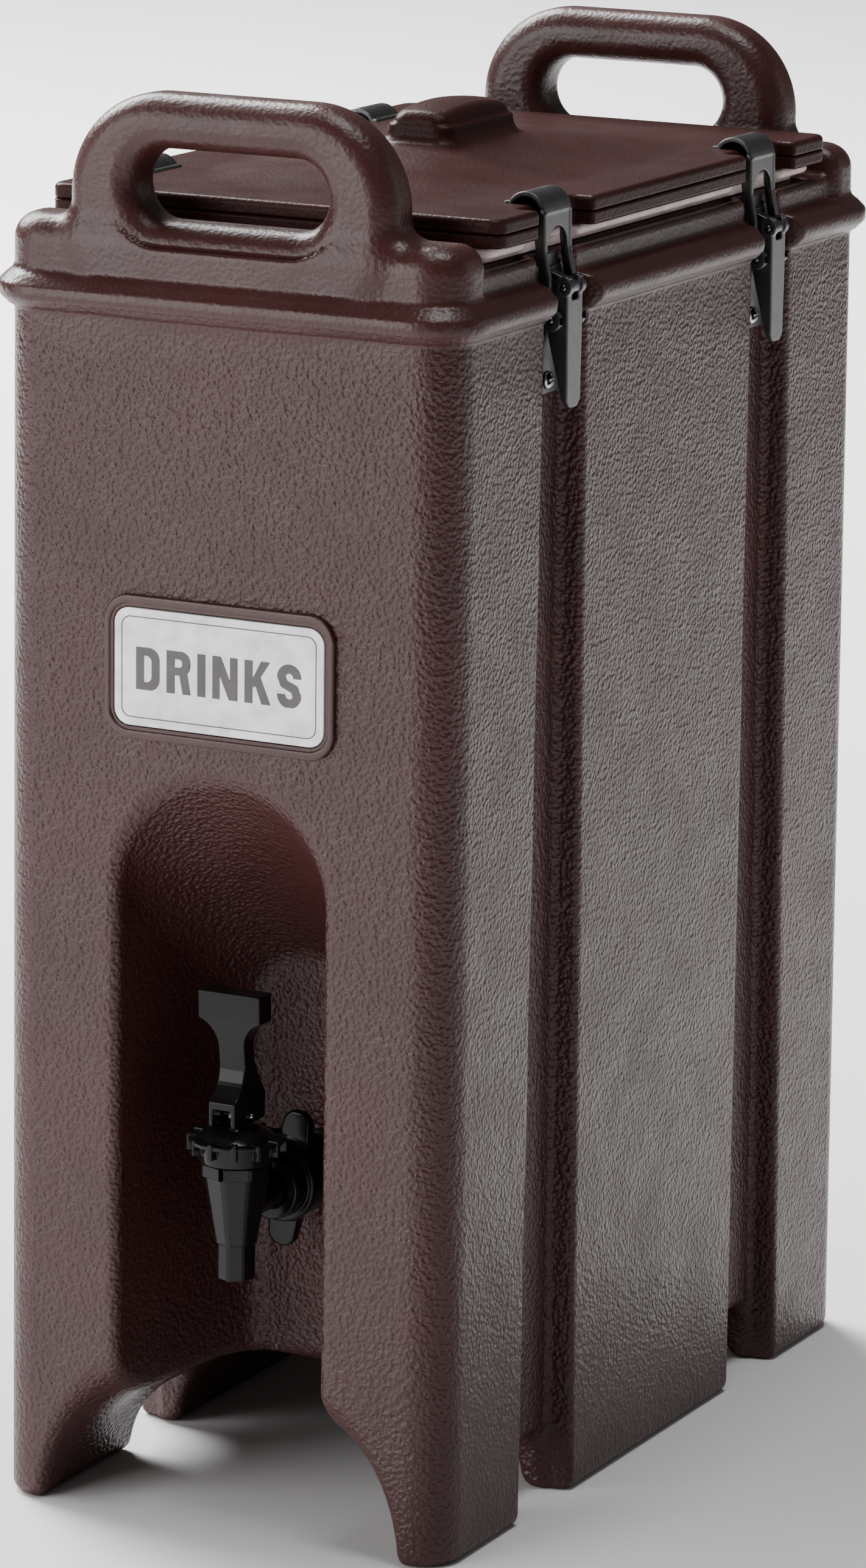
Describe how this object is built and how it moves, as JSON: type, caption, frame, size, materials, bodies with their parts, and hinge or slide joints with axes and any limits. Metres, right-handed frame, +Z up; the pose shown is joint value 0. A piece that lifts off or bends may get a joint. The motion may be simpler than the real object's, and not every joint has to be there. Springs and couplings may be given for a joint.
{
  "type": "insulated drinks dispenser",
  "caption": "Tall insulated drinks dispenser with moulded end handles, a lift-off latched lid, three-legged sides and a self-closing gravity faucet in an arched front recess.",
  "frame": {"origin": "centre of the footprint, on the surface the legs stand on", "axes": "+Z up; the faucet faces -Y; +X is to the right seen from the front"},
  "size_m": [0.2292, 0.4202, 0.616],
  "materials": {
    "body_plastic": "dark brown polyethylene with a pebbled grain, satin",
    "tank_plastic": "smooth polyethylene",
    "foam": "rigid foam",
    "seal_rubber": "pale soft seal",
    "label": "white, satin",
    "latch_plastic": "black moulded nylon, satin",
    "faucet_plastic": "black moulded plastic, glossy",
    "silicone": "silicone",
    "steel": "stainless steel"
  },
  "bodies": {
    "body": {"outer_shell": "body_plastic", "foam_insulation": "foam", "inner_tank": "tank_plastic", "label_plate": "label", "faucet_body": "faucet_plastic", "faucet_bonnet": "faucet_plastic", "faucet_spring": "steel", "faucet_shank": "faucet_plastic", "shank_gasket": "silicone", "shank_washer": "silicone", "shank_nut": "faucet_plastic", "latch_base_front_right": "latch_plastic", "lever_pin_front_right": "steel", "latch_screw_low_front_right": "steel", "latch_screw_high_front_right": "steel", "latch_base_rear_right": "latch_plastic", "lever_pin_rear_right": "steel", "latch_screw_low_rear_right": "steel", "latch_screw_high_rear_right": "steel", "latch_base_front_left": "latch_plastic", "lever_pin_front_left": "steel", "latch_screw_low_front_left": "steel", "latch_screw_high_front_left": "steel", "latch_base_rear_left": "latch_plastic", "lever_pin_rear_left": "steel", "latch_screw_low_rear_left": "steel", "latch_screw_high_rear_left": "steel"},
    "lid": {"lid_shell": "body_plastic", "lid_pan": "body_plastic", "lid_foam": "foam", "lid_gasket": "seal_rubber"},
    "stem": {"faucet_stem": "steel", "faucet_seat_cup": "silicone", "faucet_pivot_pin": "steel"},
    "paddle": {"faucet_paddle": "faucet_plastic"},
    "wing_nut": {"wing_nut": "faucet_plastic"},
    "lever_front_right": {"latch_lever_front_right": "latch_plastic", "hook_pin_front_right": "steel"},
    "hook_front_right": {"latch_hook_front_right": "latch_plastic"},
    "lever_rear_right": {"latch_lever_rear_right": "latch_plastic", "hook_pin_rear_right": "steel"},
    "hook_rear_right": {"latch_hook_rear_right": "latch_plastic"},
    "lever_front_left": {"latch_lever_front_left": "latch_plastic", "hook_pin_front_left": "steel"},
    "hook_front_left": {"latch_hook_front_left": "latch_plastic"},
    "lever_rear_left": {"latch_lever_rear_left": "latch_plastic", "hook_pin_rear_left": "steel"},
    "hook_rear_left": {"latch_hook_rear_left": "latch_plastic"}
  },
  "joints": [
    {"name": "lid_lift", "type": "slide", "parent": "body", "child": "lid", "axis": [0, 0, 1], "range_m": [0, 0.18]},
    {"name": "lever_swing_front_right", "type": "hinge", "parent": "body", "child": "lever_front_right", "pos_m": [0.1095, -0.1015, 0.5353], "axis": [0, -1, 0], "range_deg": [0, 120]},
    {"name": "hook_swing_front_right", "type": "hinge", "parent": "lever_front_right", "child": "hook_front_right", "pos_m": [0.1063, -0.1015, 0.522], "axis": [0, -1, 0], "range_deg": [-157, 0]},
    {"name": "lever_swing_rear_right", "type": "hinge", "parent": "body", "child": "lever_rear_right", "pos_m": [0.1095, 0.1015, 0.5353], "axis": [0, -1, 0], "range_deg": [0, 120]},
    {"name": "hook_swing_rear_right", "type": "hinge", "parent": "lever_rear_right", "child": "hook_rear_right", "pos_m": [0.1063, 0.1015, 0.522], "axis": [0, -1, 0], "range_deg": [-157, 0]},
    {"name": "lever_swing_front_left", "type": "hinge", "parent": "body", "child": "lever_front_left", "pos_m": [-0.1095, -0.1015, 0.5353], "axis": [0, 1, 0], "range_deg": [0, 120]},
    {"name": "hook_swing_front_left", "type": "hinge", "parent": "lever_front_left", "child": "hook_front_left", "pos_m": [-0.1063, -0.1015, 0.522], "axis": [0, 1, 0], "range_deg": [-157, 0]},
    {"name": "lever_swing_rear_left", "type": "hinge", "parent": "body", "child": "lever_rear_left", "pos_m": [-0.1095, 0.1015, 0.5353], "axis": [0, 1, 0], "range_deg": [0, 120]},
    {"name": "hook_swing_rear_left", "type": "hinge", "parent": "lever_rear_left", "child": "hook_rear_left", "pos_m": [-0.1063, 0.1015, 0.522], "axis": [0, 1, 0], "range_deg": [-157, 0]},
    {"name": "stem_lift", "type": "slide", "parent": "body", "child": "stem", "axis": [0, 0, 1], "range_m": [0, 0.0066], "deforming": ["faucet_spring"]},
    {"name": "paddle_tilt", "type": "hinge", "parent": "stem", "child": "paddle", "pos_m": [0, -0.187, 0.1823], "axis": [1, 0, 0], "range_deg": [0, 38], "stiffness_Nm_per_rad": 0.25, "springref_deg": -17.19},
    {"name": "wing_nut_turn", "type": "hinge", "parent": "body", "child": "wing_nut", "pos_m": [0, -0.1505, 0.142], "axis": [0, 1, 0], "continuous": true}
  ],
  "couplings": [
    {"joint": "hook_swing_front_right", "follows": "lever_swing_front_right", "ratio": -1.3},
    {"joint": "hook_swing_rear_right", "follows": "lever_swing_rear_right", "ratio": -1.3},
    {"joint": "hook_swing_front_left", "follows": "lever_swing_front_left", "ratio": -1.3},
    {"joint": "hook_swing_rear_left", "follows": "lever_swing_rear_left", "ratio": -1.3},
    {"joint": "paddle_tilt", "follows": "stem_lift", "rad_per_m": 100.4}
  ]
}
